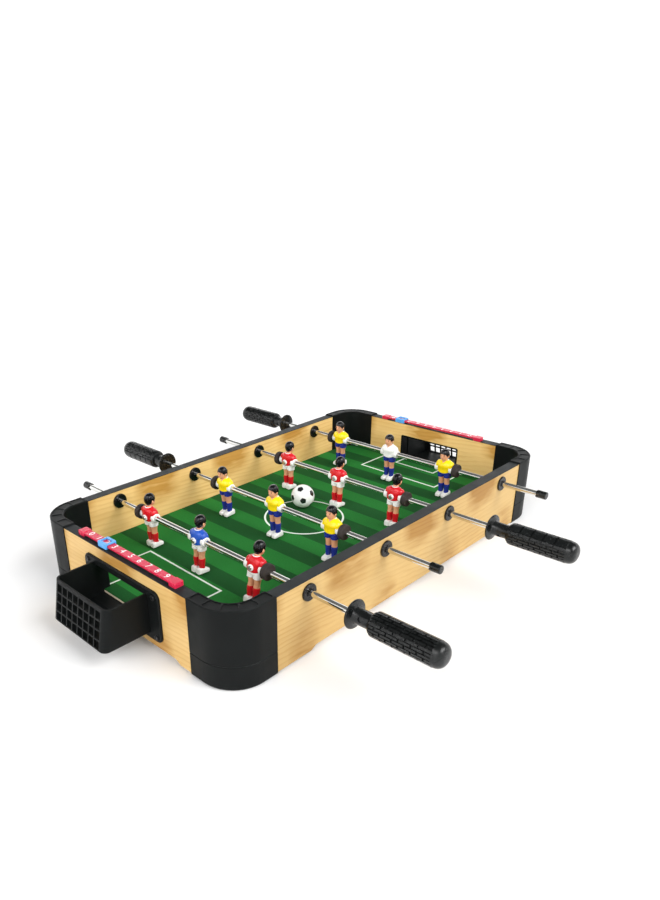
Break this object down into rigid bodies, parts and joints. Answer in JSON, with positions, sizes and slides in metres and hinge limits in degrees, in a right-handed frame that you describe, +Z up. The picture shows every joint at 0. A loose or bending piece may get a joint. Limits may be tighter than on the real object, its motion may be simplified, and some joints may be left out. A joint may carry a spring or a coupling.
{
  "type": "tabletop foosball game",
  "caption": "Tabletop table-football game: wood-look box with rounded black corners, sliding and spinning rods with figures, goals, score rails and a ball.",
  "frame": {"origin": "centre of the table at the level of the surface it stands on", "axes": "+X along the table's length towards the right goal, +Y across it, +Z up"},
  "size_m": [0.6094, 0.5595, 0.0895],
  "materials": {
    "wood_panel": "satin pine-look laminate",
    "board_wood": "raw board edge",
    "green_sheet": "matt printed sheet with white pitch lines",
    "black_plastic": "satin moulded black",
    "grey_plastic": "satin dark grey strip",
    "screw_steel": "zinc plated",
    "screw_black": "blackened",
    "rod_steel": "bright plated",
    "rubber": "matt rubber",
    "grip": "satin soft grip",
    "score_red": "gloss, white printed digits",
    "score_blue": "gloss",
    "player_red": "painted figure, red shirt",
    "player_yellow": "painted figure, yellow shirt",
    "player_blue": "painted figure, blue shirt",
    "player_white": "painted figure, white shirt",
    "ball_white": "white with black spots"
  },
  "bodies": {
    "table": {"corner_post_front_left": "black_plastic", "corner_post_front_right": "black_plastic", "corner_post_back_left": "black_plastic", "corner_post_back_right": "black_plastic", "corner_feet": "black_plastic", "corner_screws": "screw_steel", "side_panel_front": "wood_panel", "side_panel_back": "wood_panel", "end_panel_left": "wood_panel", "end_panel_right": "wood_panel", "side_trim_front": "grey_plastic", "side_trim_back": "grey_plastic", "end_trim_left": "grey_plastic", "end_trim_right": "grey_plastic", "playfield_board": "board_wood", "playfield_sheet": "green_sheet", "goal_basket_left": "black_plastic", "goal_basket_right": "black_plastic", "goal_screws": "screw_black", "rod_bushes": "black_plastic", "bush_rings": "black_plastic", "score_rail_left": "score_red", "score_rail_right": "score_red"},
    "rod_1_carriage": {"bumpers_1": "rubber"},
    "rod_1_assembly": {"rod_1": "rod_steel", "handle_1": "grip", "end_cap_1": "grip", "rod_screws_1": "screw_steel", "player_1_front": "player_red", "player_1_middle": "player_blue", "player_1_back": "player_red"},
    "rod_2_carriage": {"bumpers_2": "rubber"},
    "rod_2_assembly": {"rod_2": "rod_steel", "handle_2": "grip", "end_cap_2": "grip", "rod_screws_2": "screw_steel", "player_2_front": "player_yellow", "player_2_middle": "player_yellow", "player_2_back": "player_yellow"},
    "rod_3_carriage": {"bumpers_3": "rubber"},
    "rod_3_assembly": {"rod_3": "rod_steel", "handle_3": "grip", "end_cap_3": "grip", "rod_screws_3": "screw_steel", "player_3_front": "player_red", "player_3_middle": "player_red", "player_3_back": "player_red"},
    "rod_4_carriage": {"bumpers_4": "rubber"},
    "rod_4_assembly": {"rod_4": "rod_steel", "handle_4": "grip", "end_cap_4": "grip", "rod_screws_4": "screw_steel", "player_4_front": "player_yellow", "player_4_middle": "player_white", "player_4_back": "player_yellow"},
    "score_slider_left": {"score_slider_left": "score_blue"},
    "score_slider_right": {"score_slider_right": "score_blue"},
    "ball": {"ball": "ball_white"}
  },
  "joints": [
    {"name": "rod_1_slide", "type": "slide", "parent": "table", "child": "rod_1_carriage", "axis": [0, 1, 0], "range_m": [-0.0321, 0.0361]},
    {"name": "rod_1_spin", "type": "hinge", "parent": "rod_1_carriage", "child": "rod_1_assembly", "pos_m": [-0.162, 0, 0.0644], "axis": [0, 1, 0], "continuous": true},
    {"name": "rod_2_slide", "type": "slide", "parent": "table", "child": "rod_2_carriage", "axis": [0, 1, 0], "range_m": [-0.0331, 0.0351]},
    {"name": "rod_2_spin", "type": "hinge", "parent": "rod_2_carriage", "child": "rod_2_assembly", "pos_m": [-0.054, 0, 0.0644], "axis": [0, 1, 0], "continuous": true},
    {"name": "rod_3_slide", "type": "slide", "parent": "table", "child": "rod_3_carriage", "axis": [0, 1, 0], "range_m": [-0.0354, 0.0328]},
    {"name": "rod_3_spin", "type": "hinge", "parent": "rod_3_carriage", "child": "rod_3_assembly", "pos_m": [0.054, 0, 0.0644], "axis": [0, 1, 0], "continuous": true},
    {"name": "rod_4_slide", "type": "slide", "parent": "table", "child": "rod_4_carriage", "axis": [0, 1, 0], "range_m": [-0.0387, 0.0281]},
    {"name": "rod_4_spin", "type": "hinge", "parent": "rod_4_carriage", "child": "rod_4_assembly", "pos_m": [0.162, 0, 0.0644], "axis": [0, 1, 0], "continuous": true},
    {"name": "score_left_slide", "type": "slide", "parent": "table", "child": "score_slider_left", "axis": [0, -1, 0], "range_m": [-0.0262, 0.0917]},
    {"name": "score_right_slide", "type": "slide", "parent": "table", "child": "score_slider_right", "axis": [0, 1, 0], "range_m": [-0.1048, 0.0131]},
    {"name": "ball_roll", "type": "slide", "parent": "table", "child": "ball", "axis": [0, 1, 0], "range_m": [-0.151, 0.09]}
  ]
}
